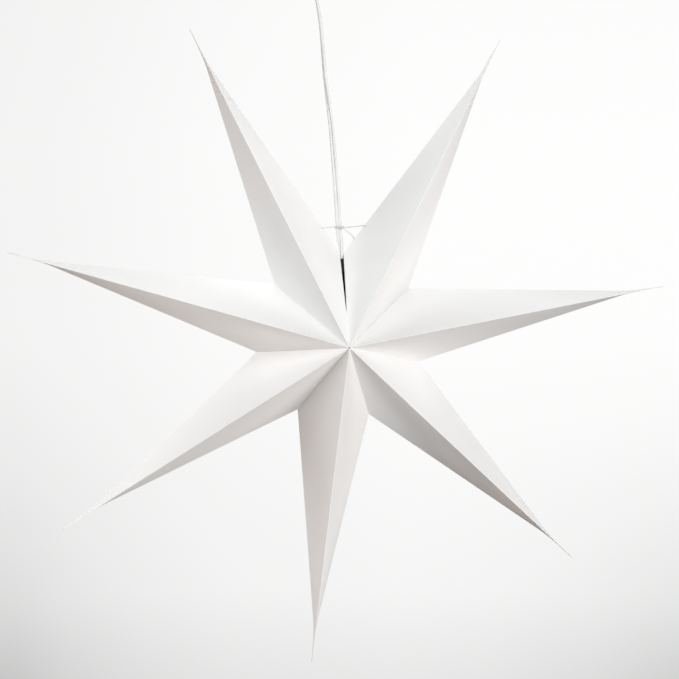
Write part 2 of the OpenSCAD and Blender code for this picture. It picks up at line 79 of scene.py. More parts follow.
# Place where the string grips the cable, in millimetres
TIE_GRIP = (26.2, 0, -294)
# Place of the main knot beside the cable, as shares of the cable's width
KNOT_SHARES = (0.65, -0.7, -0.06)
# Clearances of the string: its stopper off the card, its turn off the cable, its run off the card's edge
STOPPER_CLEAR = 0.1 * MM
WRAP_CLEAR = 0.2 * MM
EDGE_CLEAR = 1.4 * MM
# Angles of the string's turn round the cable, and the one that lies level with the grip
WRAP_ANGLES = np.arange(225.0, 616.0, 15.0)
WRAP_LEVEL = 450.0
# Cosine of the angle over which the turn crosses the cable's flat side
WRAP_CROSSING = 0.3

# Columns of a panel beside its folds: distances in from the fold, and their largest shares of its width
NEAR = np.array((0.0, 0.35, 0.8, 1.6)) * MM
NEAR_CAP = np.array((0.0, 0.05, 0.1, 0.16))
# The same columns inside, in thicknesses of paper over the point's half width
INSIDE_STEPS = np.array((0.0, 1.2, 1.6, 2.0))
MID_COLUMNS = 9
PANEL_COLUMNS = 2 * len(NEAR) + MID_COLUMNS - 1
LOOP = len(PANELS) * PANEL_COLUMNS
# Rows of a point as shares of its length, close together at the mouth
ROWS = np.concatenate(((0.0, 0.004, 0.01, 0.02, 0.035), np.linspace(0.06, 0.99, 48)))
# Share of the length from the last inner row to the end of the hollow
HOLLOW_END = 0.03
# Rows of a flap as shares of its width, its least width, and the slopes of its ends at hub and valley
FLAP_STEPS = np.array((1.0, 0.6, 0.2))
FLAP_LEAST = 0.05 * MM
HUB_SLOPE = math.tan(math.radians(35.0))
VALLEY_SLOPE = math.tan(math.radians(40.0))
# Slow waves in a panel: radians along the point and across the panel
WAVES = ((9.0, 2.0), (17.0, -3.0), (5.0, 6.0))
WAVE_SEED = 40
# Shares of the length over which the bow and the folds' painted highlight and crease wear set in, and the
# reach of that lightening from a fold
BOW_START = 0.12
HIGHLIGHT_AND_WEAR_START = 0.02
HIGHLIGHT_AND_WEAR_REACH = 0.9 * MM

# Studio lamps: name, direction that the light comes from, and its colour times its strength
STUDIO_LAMPS = (
    ("high_back", (-0.1, 0.5, 0.86), (1.43, 1.43, 1.43)),
    ("front_left", (-0.28, -0.83, 0.48), (1.03, 1.03, 1.03)),
    ("front_key", (0.22, -0.92, 0.33), (1.72, 1.72, 1.72)),
    ("left_wall", (-0.99, 0.03, 0.14), (1.18, 1.18, 1.18)),
    ("right_back", (0.75, 0.65, 0.11), (0.91, 0.91, 0.91)),
    ("low_right", (0.54, -0.69, -0.48), (1.52, 1.445, 1.405)),
    ("low_left", (-0.85, 0.14, -0.52), (0.4, 0.25, 0.17)),
    ("back_fill", (0.0, 1.0, 0.05), (1.2, 1.2, 1.2)))
LAMP_WIDTH = math.radians(45.0)
# Levels of the pale surround by the height and by the side that a view points to
SURROUND_HEIGHT = ((-1.0, 0.7), (-0.5, 0.7), (-0.36, 0.8), (-0.29, 0.92), (-0.12, 0.985), (0.03, 0.99),
                   (0.4, 0.94), (1.0, 0.92))
SURROUND_SIDE = ((-1.0, 0.9), (-0.16, 0.9), (0.0, 0.965), (0.15, 1.0), (1.0, 1.0))
# Share of blue in each level, which warms the surround a little
SURROUND_BLUE = 0.998
# Shares of the shade in the two lower corners of the backdrop, by height, side and depth, and its level
CORNER_HEIGHT = ((-1.0, 1.0), (-0.35, 1.0), (-0.3, 0.58), (-0.25, 0.33), (-0.19, 0.12), (-0.1, 0.0),
                 (1.0, 0.0))
CORNER_SIDE = ((-1.0, 1.0), (-0.14, 1.0), (-0.1, 0.5), (-0.05, 0.18), (0.02, 0.0), (0.13, 0.0),
               (0.2, 0.14), (0.27, 0.48), (0.33, 1.0), (1.0, 1.0))
CORNER_DEPTH = ((-1.0, 0.0), (0.6, 0.0), (0.85, 1.0), (1.0, 1.0))
CORNER_LEVEL = 0.75
# Floor: rings, sides, radius of its rim, and radius up to which it covers fully
FLOOR_RINGS, FLOOR_SIDES = 12, 96
FLOOR_RADIUS = 0.85
FLOOR_SOLID = 0.35
# Width of the camera's sensor in millimetres
SENSOR_WIDTH = 36.0


class StarProps(bpy.types.PropertyGroup):
    """Sizes of the folded star"""
    tip_radius: bpy.props.FloatProperty(
        name="Tip Radius", description="Centre of the star to the tip of a point",
        default=0.308, unit="LENGTH")
    valley_radius: bpy.props.FloatProperty(
        name="Valley Radius", description="Centre of the star to the valleys between the points",
        default=0.077, unit="LENGTH")
    hub_depth: bpy.props.FloatProperty(
        name="Hub Depth", description="Centre of the star to its front and back hubs",
        default=0.086, unit="LENGTH")
    paper_thickness: bpy.props.FloatProperty(
        name="Paper Thickness", description="Thickness of the card", default=0.0004, unit="LENGTH")
    flap_width: bpy.props.FloatProperty(
        name="Flap Width", description="Width of the glue flaps inside the valleys",
        default=0.008, unit="LENGTH")
    flat_length: bpy.props.FloatProperty(
        name="Flat Length", description="Length of a tip that is pressed flat",
        default=0.022, unit="LENGTH")
    closing_length: bpy.props.FloatProperty(
        name="Closing Length", description="Length over which a point closes into its flat tip",
        default=0.034, unit="LENGTH")
    hub_clip: bpy.props.FloatProperty(
        name="Hub Clip", description="Reach of the corner clipped off each sheet at the hub",
        default=0.0007, unit="LENGTH")
    glue_line: bpy.props.FloatProperty(
        name="Glue Line", description="Film of glue between two flaps", default=0.00002, unit="LENGTH")
    seam_half: bpy.props.FloatProperty(
        name="Seam Half Gap", description="Half of the open seam's gap at its notch",
        default=0.00175, unit="LENGTH")
    seam_open: bpy.props.FloatProperty(
        name="Seam Open Share", description="Share of the open seam that stands apart",
        default=0.66, subtype="FACTOR")
    seam_fullness: bpy.props.FloatProperty(
        name="Seam Fullness", description="How full the open seam is in its middle: 1 is a straight taper",
        default=0.8, subtype="FACTOR")
    seam_lip: bpy.props.FloatProperty(
        name="Seam Lip", description="Width of the lip turned in along the open seam",
        default=0.001, unit="LENGTH")
    bow: bpy.props.FloatProperty(
        name="Bow", description="How far a panel bows out between its folds",
        default=0.0012, unit="LENGTH")
    buckle: bpy.props.FloatProperty(
        name="Buckle", description="Height of the slow waves in a panel", default=0.0004, unit="LENGTH")
    centre: bpy.props.FloatVectorProperty(
        name="Centre", description="Centre of the star below the ceiling", default=(0.027, 0.0, -0.394),
        subtype="TRANSLATION")
    paper_colour: bpy.props.FloatVectorProperty(
        name="Paper Colour", description="Colour of the card", default=(0.9, 0.9, 0.895),
        subtype="COLOR", size=3)


class CordProps(bpy.types.PropertyGroup):
    """Sizes of the cable and the tie string"""
    flex_width: bpy.props.FloatProperty(
        name="Cable Width", description="Width of the flat twin cable", default=0.0054, unit="LENGTH")
    flex_thickness: bpy.props.FloatProperty(
        name="Cable Thickness", description="Thickness of the flat twin cable",
        default=0.0027, unit="LENGTH")
    string_diameter: bpy.props.FloatProperty(
        name="String Diameter", description="Diameter of the tie string", default=0.0012, unit="LENGTH")
    knot_diameter: bpy.props.FloatProperty(
        name="Knot Diameter", description="Diameter of the knots", default=0.0034, unit="LENGTH")
    left_reach: bpy.props.FloatProperty(
        name="Left Hole Reach", description="Upper left point's tie hole from the valley, along the edge",
        default=0.030, unit="LENGTH")
    right_reach: bpy.props.FloatProperty(
        name="Right Hole Reach", description="Upper right point's front tie hole from the valley",
        default=0.034, unit="LENGTH")
    back_reach: bpy.props.FloatProperty(
        name="Back Hole Reach", description="Upper right point's back tie hole from the valley",
        default=0.018, unit="LENGTH")
    hole_inset: bpy.props.FloatProperty(
        name="Hole Inset", description="Tie holes in from the edge", default=0.004, unit="LENGTH")
    cable_colour: bpy.props.FloatVectorProperty(
        name="Cable Colour", description="Colour of the cable", default=(0.76, 0.76, 0.75),
        subtype="COLOR", size=3)
    string_colour: bpy.props.FloatVectorProperty(
        name="String Colour", description="Colour of the tie string", default=(0.74, 0.74, 0.72),
        subtype="COLOR", size=3)


class StageProps(bpy.types.PropertyGroup):
    """Camera, light and floor"""
    yaw: bpy.props.FloatProperty(
        name="Yaw", description="Camera's turn to the left of the front", default=math.radians(5.64),
        subtype="ANGLE")
    pitch: bpy.props.FloatProperty(
        name="Pitch", description="Camera's height above the level of the star",
        default=math.radians(6.4), subtype="ANGLE")
    distance: bpy.props.FloatProperty(
        name="Distance", description="Camera to the star's centre", default=1.232, unit="LENGTH")
    shift: bpy.props.FloatVectorProperty(
        name="Aim", description="Star's centre right of and above the middle of the picture",
        default=(0.0001, 0.0024), size=2, unit="LENGTH")
    lens: bpy.props.FloatProperty(
        name="Lens", description="Focal length on a 36 mm sensor", default=71.32)
    floor_drop: bpy.props.FloatProperty(
        name="Floor Drop", description="Floor below the ceiling", default=1.15, unit="LENGTH")


# Shared shape helpers

def mix(a, b, share):
    """Straight step from a to b by a share."""
    return a + (b - a) * share


def between(a, b, *shares):
    """Points on the straight line from a to b, one for each share."""
    return np.array([mix(a, b, share) for share in shares])


def unit(v):
    """Vectors of length one along the last axis."""
    return v / np.maximum(np.linalg.norm(v, axis=-1, keepdims=True), 1e-12)


def heading(degrees):
    """Direction in the star's plane, clockwise from up as seen from the front."""
    t = math.radians(degrees)
    return np.array((math.sin(t), 0.0, math.cos(t)))


def smoothstep(x):
    """Soft step from 0 to 1: three squares less two cubes."""
    x = np.clip(x, 0.0, 1.0)
    return x * x * (3.0 - 2.0 * x)


def ring_quads(rows, sides, base=0):
    """Quads of a grid of rows whose columns close into a ring: each joins a column to the next one."""
    i, j = np.meshgrid(np.arange(rows - 1), np.arange(sides), indexing="ij")
    k = (j + 1) % sides
    return (base + np.stack((i * sides + j, i * sides + k, (i + 1) * sides + k, (i + 1) * sides + j), -1)
            ).reshape(-1, 4)


def ring_fan(row, apex, sides, base=0):
    """Triangles from one closed row of a grid to an apex."""
    j = np.arange(sides)
    return np.stack((base + row * sides + j, base + row * sides + (j + 1) % sides,
                     np.full(sides, apex)), -1)


def add_mesh(name, verts, polys, material, attributes=None, sharp=()):
    """Mesh object at the origin from a vertex array and arrays of equal-sided polygons."""
    mesh = bpy.data.meshes.new(name)
    sizes = np.concatenate([np.full(len(p), p.shape[1]) for p in polys])
    loops = np.concatenate([p.reshape(-1) for p in polys]).astype(np.int32)
    mesh.vertices.add(len(verts))
    mesh.vertices.foreach_set("co", np.asarray(verts, np.float32).reshape(-1))
    mesh.loops.add(len(loops))
    mesh.loops.foreach_set("vertex_index", loops)
    mesh.polygons.add(len(sizes))
    mesh.polygons.foreach_set("loop_start", (np.cumsum(sizes) - sizes).astype(np.int32))
    mesh.polygons.foreach_set("use_smooth", np.full(len(sizes), True))
    for key, values in (attributes or {}).items():
        layer = mesh.attributes.new(key, "FLOAT", "POINT")
        layer.data.foreach_set("value", np.asarray(values, np.float32))
    mesh.update(calc_edges=True)
    mesh.validate()
    if sharp:
        ends = np.empty(2 * len(mesh.edges), np.int32)
        mesh.edges.foreach_get("vertices", ends)
        rows = [((ends >= low) & (ends < high)).reshape(-1, 2).all(axis=1) for low, high in sharp]
        mesh.edges.foreach_set("use_edge_sharp", np.any(rows, axis=0))
    mesh.materials.append(material)
    obj = bpy.data.objects.new(name, mesh)
    bpy.context.scene.collection.objects.link(obj)
    return obj


def spline(points, count):
    """Catmull-Rom curve through the points, with count even steps between each pair."""
    p = np.asarray(points, float)
    ends = np.vstack((2 * p[0] - p[1], p, 2 * p[-1] - p[-2]))
    t = np.arange(count)[None, :, None] / count
    a, b, c, d = (ends[i:len(p) - 1 + i, None] for i in range(4))
    curve = 0.5 * (2 * b + (c - a) * t + (2 * a - 5 * b + 4 * c - d) * t ** 2
                   + (3 * b - a - 3 * c + d) * t ** 3)
    return np.vstack((curve.reshape(-1, p.shape[1]), p[-1:]))


def frames_along(path, side):
    """Tangent, normal and binormal at each point of a path.

    The normal is carried along without turning: at each point it loses its part along the tangent."""
    tangent = unit(np.gradient(path, axis=0))
    normal = np.zeros_like(tangent)
    last = np.asarray(side, float)
    for i, t in enumerate(tangent):
        last = last - t * np.dot(last, t)
        last = last / np.linalg.norm(last)
        normal[i] = last
    return tangent, normal, np.cross(tangent, normal)


def tube(path, outline, side):
    """Closed tube: an outline of (across, along the binormal) pairs at every point of a path."""
    _, normal, binormal = frames_along(path, side)
    rings = path[:, None] + normal[:, None] * outline[..., :1] + binormal[:, None] * outline[..., 1:]
    count, sides = rings.shape[:2]
    verts = np.vstack((rings.reshape(-1, 3), path[:1], path[-1:]))
    start = ring_fan(0, count * sides, sides)[:, ::-1]
    end = ring_fan(count - 1, count * sides + 1, sides)
    return verts, [ring_quads(count, sides), start, end]


# Materials

def new_material(name, colour, roughness, specular=0.5):
    """Principled material with its constants on the shader."""
    mat = bpy.data.materials.new(name)
    mat.use_nodes = True
    shader = mat.node_tree.nodes["Principled BSDF"]
    shader.inputs["Base Color"].default_value = (*colour, 1.0)
    shader.inputs["Roughness"].default_value = roughness
    shader.inputs["Specular IOR Level"].default_value = specular
    return mat, mat.node_tree.nodes, mat.node_tree.links, shader


def link_noise(nodes, links, scale, detail, rough=0.5):
    """Noise on the piece's own coordinates."""
    place = nodes.new("ShaderNodeTexCoord")
    noise = nodes.new("ShaderNodeTexNoise")
    noise.inputs["Scale"].default_value = scale
    noise.inputs["Detail"].default_value = detail
    noise.inputs["Roughness"].default_value = rough
    links.new(place.outputs["Object"], noise.inputs["Vector"])
    return noise


def link_colours(nodes, links, factor, shader, low, high, start=0.35, end=0.65):
    """Colour ramp from a factor to the shader's base colour."""
    ramp = nodes.new("ShaderNodeValToRGB")
    ramp.color_ramp.elements[0].position = start
    ramp.color_ramp.elements[0].color = (*low, 1.0)
    ramp.color_ramp.elements[1].position = end
    ramp.color_ramp.elements[1].color = (*high, 1.0)
    links.new(factor, ramp.inputs["Fac"])
    links.new(ramp.outputs["Color"], shader.inputs["Base Color"])
    return ramp


def link_bump(nodes, links, height, shader, strength, distance, before=None):
    """Bump from a height, laid over an earlier bump."""
    bump = nodes.new("ShaderNodeBump")
    bump.inputs["Strength"].default_value = strength
    bump.inputs["Distance"].default_value = distance
    links.new(height, bump.inputs["Height"])
    if before is not None:
        links.new(before.outputs["Normal"], bump.inputs["Normal"])
    links.new(bump.outputs["Normal"], shader.inputs["Normal"])
    return bump


def paper_material(star):
    """White card: faint cloudy tone, fine fibres, and folds painted a little lighter: a painted highlight
    along the creases, partly crease wear.
    """
    colour = np.array(star.paper_colour)
    mat, nodes, links, shader = new_material("white_card", colour, roughness=0.85, specular=0.12)
    cloud = link_noise(nodes, links, scale=18.0, detail=3.0)
    ramp = link_colours(nodes, links, cloud.outputs["Fac"], shader, colour * 0.985, colour,
                        start=0.3, end=0.7)
    # The fold attribute paints the folds lighter: a painted highlight along the creases, partly crease wear
    fold = nodes.new("ShaderNodeAttribute")
    fold.attribute_name = "fold"
    highlight_and_wear = nodes.new("ShaderNodeMix")
    highlight_and_wear.data_type = "RGBA"
    highlight_and_wear.inputs["B"].default_value = (0.97, 0.97, 0.965, 1.0)
    links.new(fold.outputs["Fac"], highlight_and_wear.inputs["Factor"])
    links.new(ramp.outputs["Color"], highlight_and_wear.inputs["A"])
    links.new(highlight_and_wear.outputs["Result"], shader.inputs["Base Color"])
    fibre = link_noise(nodes, links, scale=1400.0, detail=5.0, rough=0.6)
    waves = link_noise(nodes, links, scale=55.0, detail=2.0)
    soft = link_bump(nodes, links, waves.outputs["Fac"], shader, strength=0.12, distance=0.0006)
    link_bump(nodes, links, fibre.outputs["Fac"], shader, strength=0.08, distance=0.0001, before=soft)
    return mat


def cable_material(cords):
    """Soft white plastic sheath with faint dirt and flow marks."""
    colour = np.array(cords.cable_colour)
    mat, nodes, links, shader = new_material("white_sheath", colour, roughness=0.45, specular=0.35)
    cloud = link_noise(nodes, links, scale=60.0, detail=4.0)
    link_colours(nodes, links, cloud.outputs["Fac"], shader, colour * 0.94, colour)
    grain = link_noise(nodes, links, scale=900.0, detail=3.0)
    link_bump(nodes, links, grain.outputs["Fac"], shader, strength=0.12, distance=0.0002)
    return mat


def string_material(cords):
    """Undyed cotton string with loose fibres."""
    colour = np.array(cords.string_colour)
    mat, nodes, links, shader = new_material("cotton_string", colour, roughness=0.9, specular=0.2)
    fluff = link_noise(nodes, links, scale=1800.0, detail=4.0, rough=0.6)
    link_colours(nodes, links, fluff.outputs["Fac"], shader, colour * 0.8, colour)
    link_bump(nodes, links, fluff.outputs["Fac"], shader, strength=0.4, distance=0.0002)
    return mat


def moulded_material(name, colour, roughness, specular=0.45, grain_scale=1100.0):
    """Moulded plastic or fired clay: faint mottling and a fine grain."""
    colour = np.array(colour)
    mat, nodes, links, shader = new_material(name, colour, roughness, specular)
    cloud = link_noise(nodes, links, scale=70.0, detail=3.0)
    link_colours(nodes, links, cloud.outputs["Fac"], shader, colour * 0.92, colour)
    grain = link_noise(nodes, links, scale=grain_scale, detail=3.0)
    link_bump(nodes, links, grain.outputs["Fac"], shader, strength=0.1, distance=0.0002)
    return mat


def brass_material():
    """Drawn brass with fine scratches and a little tarnish."""
    mat, nodes, links, shader = new_material("drawn_brass", (0.75, 0.58, 0.28), roughness=0.32)
    shader.inputs["Metallic"].default_value = 1.0
    cloud = link_noise(nodes, links, scale=160.0, detail=5.0)
    link_colours(nodes, links, cloud.outputs["Fac"], shader, (0.6, 0.44, 0.2), (0.8, 0.64, 0.34))
    scratch = link_noise(nodes, links, scale=1500.0, detail=2.0)
    link_bump(nodes, links, scratch.outputs["Fac"], shader, strength=0.15, distance=0.0001)
    return mat


def bulb_material(base_z):
    """Opal glass below a height, plated screw base above it; faint ripple in both."""
    glass, plating = (0.93, 0.92, 0.89), (0.7, 0.7, 0.71)
    mat, nodes, links, shader = new_material("opal_bulb", glass, roughness=0.16)
    place = nodes.new("ShaderNodeTexCoord")
    split = nodes.new("ShaderNodeSeparateXYZ")
    links.new(place.outputs["Object"], split.inputs["Vector"])
    above = nodes.new("ShaderNodeMath")
    above.operation = "GREATER_THAN"
    above.inputs[1].default_value = base_z
    links.new(split.outputs["Z"], above.inputs[0])
    tone = link_colours(nodes, links, above.outputs["Value"], shader, glass, plating)
    tone.color_ramp.interpolation = "CONSTANT"
    links.new(above.outputs["Value"], shader.inputs["Metallic"])
    grain = link_noise(nodes, links, scale=700.0, detail=3.0)
    link_bump(nodes, links, grain.outputs["Fac"], shader, strength=0.06, distance=0.0001)
    return mat


# Folded paper points

def point_angle(k):
    """Angle of point k, clockwise from up."""
    return 360.0 / len(POINT_TURN) * (k - 0.5) + POINT_TURN[k % len(POINT_TURN)]


def valley_angle(j):
    """Angle of the valley before point j: midway between its two points."""
    return (point_angle(j - 1) + point_angle(j)) / 2.0


class FoldedPoint:
    """Rulings of one point: straight lines from the ridge to the side edge at the same share of length.

    The share of length is a, from the mouth to the tip. The share across a panel is c, from the ridge to
    the side edge. Face is -1 in front and 1 at the back, and side is 1 clockwise of the point's axis."""

    def __init__(self, star, k):
        self.star, self.k = star, k
        self.axis = heading(point_angle(k))
        self.across = heading(point_angle(k) + 90.0)
        self.closing = 1.0 - (star.flat_length + star.closing_length) / star.tip_radius
        self.flat = 1.0 - star.flat_length / star.tip_radius
        self.valley_len = math.hypot(star.valley_radius, star.hub_depth)

    def valley(self, side):
        """Number of the valley on one side of the point."""
        return self.k + 1 if side > 0 else self.k

    def opening(self, a):
        """Share of the full width: a straight taper that curves into nothing."""
        middle, reach = (self.closing + self.flat) / 2.0, (self.flat - self.closing) / 2.0
        bend = np.clip(self.flat - a, 0.0, None) ** 2 / (4.0 * reach * middle)
        return np.where(a <= self.closing, 1.0 - a / middle, bend)

    def ridge(self, face, a):
        """Ridge: a straight line from the clipped hub corner to the tip."""
        s = self.star
        along = mix(s.hub_clip, s.tip_radius, a)[..., None]
        return self.axis * along + np.array((0.0, face * s.hub_depth, 0.0)) * (1.0 - along / s.tip_radius)

    def edge(self, side, a):
        """Side edge: straight along the axis from the valley to the tip.

        Its distance from the axis closes to the paper's thickness before the tip, which makes a flat
        blade of the tip."""
        s = self.star
        spread = math.radians(valley_angle(self.valley(side)) - point_angle(self.k))
        half = mix(s.paper_thickness, s.valley_radius * abs(math.sin(spread)), self.opening(a))
        along = mix(s.valley_radius * math.cos(spread), s.tip_radius, a)
        return self.axis * along[..., None] + self.across * (side * half)[..., None]

    def flap_normal(self, side):
        """Normal of the plane through a valley and the hubs, towards the neighbour."""
        return heading(valley_angle(self.valley(side)) + 90.0) * side

    def half_gap(self, side, c):
        """Half of the gap to the neighbour: the glue, and a power of the open share at the open seam."""
        s = self.star
        open_share = np.clip((c - 1.0 + s.seam_open) / s.seam_open, 0.0, None) ** s.seam_fullness
        seam = self.valley(side) == SEAM_VALLEY
        return s.glue_line / 2.0 + (open_share * s.seam_half if seam else 0.0 * open_share)

    def panel(self, face, side, a, c):
        """Outer face of a panel: a straight step c from ridge to edge, drawn back from the seam's gap."""
        flat = mix(self.ridge(face, a), self.edge(side, a), c[..., None])
        return flat - self.flap_normal(side) * (self.half_gap(side, c) * c * (1.0 - a))[..., None]

    def normal(self, face, side, a, c, step=0.001):
        """Outward normal: forward along the point crossed with the ruling."""
        ahead = self.panel(face, side, np.minimum(a + step, 1.0), c)
        behind = self.panel(face, side, np.maximum(a - step, 0.0), c)
        ruling = self.edge(side, a) - self.ridge(face, a)
        return unit(np.cross(ahead - behind, ruling)) * face * side

    def mouth(self, face, side, c):
        """Valley line from the clipped hub corner to the valley, set back by half of the gap."""
        s = self.star
        hub = np.array((0.0, face * s.hub_depth, 0.0))
        clip = s.hub_clip / s.valley_radius
        share = clip + (1.0 - clip) * c
        line = mix(hub, self.edge(side, np.zeros(1))[0], share[..., None])
        return line - self.flap_normal(side) * self.half_gap(side, share)[..., None]

    def flap(self, face, side, c):
        """How far and which way the flap runs in from the valley line: full width, with slanted ends."""
        s = self.star
        clip = s.hub_clip / s.valley_radius
        share = clip + (1.0 - clip) * c
        slope = VALLEY_SLOPE * self.valley_len
        hub_end = (share - clip) * self.valley_len * HUB_SLOPE
        valley_end = (1.0 - share) * slope
        width = np.minimum(s.flap_width, np.minimum(hub_end, valley_end))
        if self.valley(side) == SEAM_VALLEY:
            glued = s.flap_width - np.clip(share - 1.0 + s.seam_open, 0.0, None) * slope
            width = np.minimum(width, np.maximum(glued, s.seam_lip))
        width = width + FLAP_LEAST
        out = heading(valley_angle(self.valley(side)))
        run = (out * -s.hub_depth + np.array((0.0, -face * s.valley_radius, 0.0))) / self.valley_len
        return run * width[..., None]


def column_shares(point, face, side, a, inside):
    """Shares across a panel for each row: narrow columns beside the folds, even ones between.

    Inside, they keep further from the folds than the reach of two thicknesses of paper there."""
    edge = point.edge(side, a)
    length = np.linalg.norm(edge - point.ridge(face, a), axis=-1)[:, None]
    near = np.minimum(NEAR / length, NEAR_CAP)
    if inside:
        half = np.abs(edge @ point.across)[:, None]
        near = np.maximum(near, INSIDE_STEPS * point.star.paper_thickness / half)
    inner = np.arange(1, MID_COLUMNS + 1) / (MID_COLUMNS + 1.0)
    mid = near[:, -1:] + (1.0 - 2.0 * near[:, -1:]) * inner[None]
    return np.hstack((near, mid, 1.0 - near[:, ::-1]))


def loop_columns(arrays):
    """Joins four panel arrays, each from ridge to edge, into one loop: every second one runs back."""
    turned = [p if i % 2 == 0 else p[:, ::-1] for i, p in enumerate(arrays)]
    return np.concatenate([p[:, :-1] for p in turned], axis=1)


def mitre(n, m, depth, least=0.02):
    """Step from the outer to the inner face where two planes meet.

    Minus the depth times the sum of their normals, over one plus the normals' dot product."""
    return -depth * (n + m) / np.maximum(1.0 + np.sum(n * m, axis=-1, keepdims=True), least)


def corner(n, m, o, depth):
    """Step from the outer to the inner face where three planes meet.

    Minus the depth times the sum of the normals' cross products, over their triple product."""
    return -depth * (np.cross(m, o) + np.cross(o, n) + np.cross(n, m)) / np.dot(n, np.cross(m, o))


def flap_rows(point, face, side, c, line):
    """Rows of a flap: the valley line plus the flap's run inwards times each of its steps."""
    run = point.flap(face, side, c)
    run[0] = (0.0, -face * FLAP_LEAST, 0.0)
    run[-1] = heading(valley_angle(point.valley(side))) * -FLAP_LEAST
    return line[None] + run[None] * FLAP_STEPS[:, None, None]


def outer_panel(point, face, side, rng):
    """Outer face of one panel with its flap, and the painted highlight and crease wear of its folds.

    The panel is lifted along its normal by a bow and the sum of slow sine waves, times 4 c (1 - c), and
    less towards the tip. The painted highlight and crease wear fall off straight from 1 on a fold to 0 at
    its reach."""
    star = point.star
    # Four of each are drawn, and the waves use the first three
    phases = rng.uniform(0.0, 2.0 * math.pi, 4)
    sizes = rng.uniform(0.5, 1.0, 4)
    lift = rng.uniform(0.6, 1.3)
    c = column_shares(point, face, side, ROWS, False)
    a = np.broadcast_to(ROWS[:, None], c.shape)
    belly = 4.0 * c * (1.0 - c) * smoothstep(a / BOW_START)
    fade = np.clip((point.flat - a) / point.flat, 0.0, 1.0)
    waves = sum(size * np.sin(along * a + across * c + phase)
                for size, phase, (along, across) in zip(sizes, phases, WAVES))
    height = belly * (star.bow * lift * fade ** 0.5 + waves * star.buckle * fade)
    grid = point.panel(face, side, a, c) + point.normal(face, side, a, c) * height[..., None]
    grid[0, 1:] = point.mouth(face, side, c[0])[1:]
    width = np.linalg.norm(point.edge(side, a) - point.ridge(face, a), axis=-1)
    # Folds painted lighter: a painted highlight where the creases catch light, partly crease wear
    highlight_and_wear = np.clip(1.0 - np.minimum(c, 1.0 - c) * width / HIGHLIGHT_AND_WEAR_REACH, 0.0, 1.0) * smoothstep(a / HIGHLIGHT_AND_WEAR_START)
    flaps = flap_rows(point, face, side, c[0], grid[0])
    return np.concatenate((flaps, grid)), np.concatenate((np.zeros(flaps.shape[:2]), highlight_and_wear))


def inner_panel(point, face, side, rows):
    """Inner face of one panel with its flap: the flat panel stepped in by the paper's thickness.

    The step runs against the panel's normal, and along a mitre where the panel meets its neighbours over
    the ridge and the side edge and its own flap at the valley line."""
    thickness = point.star.paper_thickness
    c = column_shares(point, face, side, rows, True)
    a = np.broadcast_to(rows[:, None], c.shape)
    own = point.normal(face, side, a, c)
    flap_n = point.flap_normal(side)
    ridge_n = point.normal(face, -side, a[:, :1], c[:, :1])
    edge_n = point.normal(-face, side, a[:, -1:], c[:, -1:])
    step = -own * thickness
    step[0] = mitre(own[0], np.broadcast_to(flap_n, own[0].shape), thickness)
    step[:, :1] = mitre(own[:, :1], ridge_n, thickness)
    step[:, -1:] = mitre(own[:, -1:], edge_n, thickness)
    step[0, -1] = corner(own[0, -1], edge_n[0, 0], flap_n, thickness)
    grid = point.panel(face, side, a, c)
    grid[0, 1:] = point.mouth(face, side, c[0])[1:]
    grid = grid + step
    return np.concatenate((flap_rows(point, face, side, c[0], grid[0]), grid))


def soften_folds(grid, first, share=0.5):
    """Draws the fold columns by a share to the mean of their neighbours, which rounds the creases."""
    cols = np.arange(0, LOOP, PANEL_COLUMNS)
    mean = (grid[first + 1:, cols - 1] + grid[first + 1:, (cols + 1) % LOOP]) / 2.0
    grid[first + 1:, cols] = mix(grid[first + 1:, cols], mean, share)


def fold_point(star, k):
    """One folded sheet as a closed shell.

    Outer face: flap rows, the valley line, then rulings out to the tip. Inner face: the same rulings,
    stepped in, as far as the two halves stay apart. A rim joins them round the mouth."""
    point = FoldedPoint(star, k)
    rng = np.random.RandomState(WAVE_SEED + k)
    inner_rows = ROWS[ROWS < point.closing]
    outsides = [outer_panel(point, face, side, rng) for face, side in PANELS]
    outer = loop_columns([grid for grid, _ in outsides])
    folds = loop_columns([highlight_and_wear for _, highlight_and_wear in outsides])
    inner = loop_columns([inner_panel(point, face, side, inner_rows) for face, side in PANELS])
    first = len(FLAP_STEPS)
    soften_folds(outer, first)
    count, deep = len(outer), len(inner)
    tip = point.axis * star.tip_radius
    inner_tip = point.axis * mix(star.valley_radius, star.tip_radius, inner_rows[-1] + HOLLOW_END)
    base = count * LOOP + 1
    verts = np.vstack((outer.reshape(-1, 3), tip, inner.reshape(-1, 3), inner_tip)) + np.array(star.centre)
    here = np.arange(LOOP)
    after = (here + 1) % LOOP
    rim = np.stack((here, base + here, base + after, after), -1)
    polys = [ring_quads(count, LOOP)[:, ::-1], ring_fan(count - 1, count * LOOP, LOOP)[:, ::-1],
             ring_quads(deep, LOOP, base), ring_fan(deep - 1, base + deep * LOOP, LOOP, base), rim[:, ::-1]]
    # Fold attribute: painted highlight and crease wear along the folds, full at the tip
    fold = np.concatenate((folds.reshape(-1), (1.0,), np.zeros(deep * LOOP + 1)))
    sharp = [(row, row + LOOP) for row in (0, first * LOOP, base, base + first * LOOP)]
    return verts, polys, {"fold": fold}, sharp


class STAR_OT_fold_points(bpy.types.Operator):
    """Fold the seven paper points"""
    bl_idname = "paper_star.fold_points"
    bl_label = "Fold Paper Points"

    def execute(self, context):
        star = context.scene.paper_star
        card = paper_material(star)
        for k, node in enumerate(POINT_NODES):
            verts, polys, attributes, sharp = fold_point(star, k)
            obj = add_mesh("paper_" + node, verts, polys, card, attributes, sharp)
            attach(obj, "root")
            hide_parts(node)
        return {"FINISHED"}


# Cable and tie string

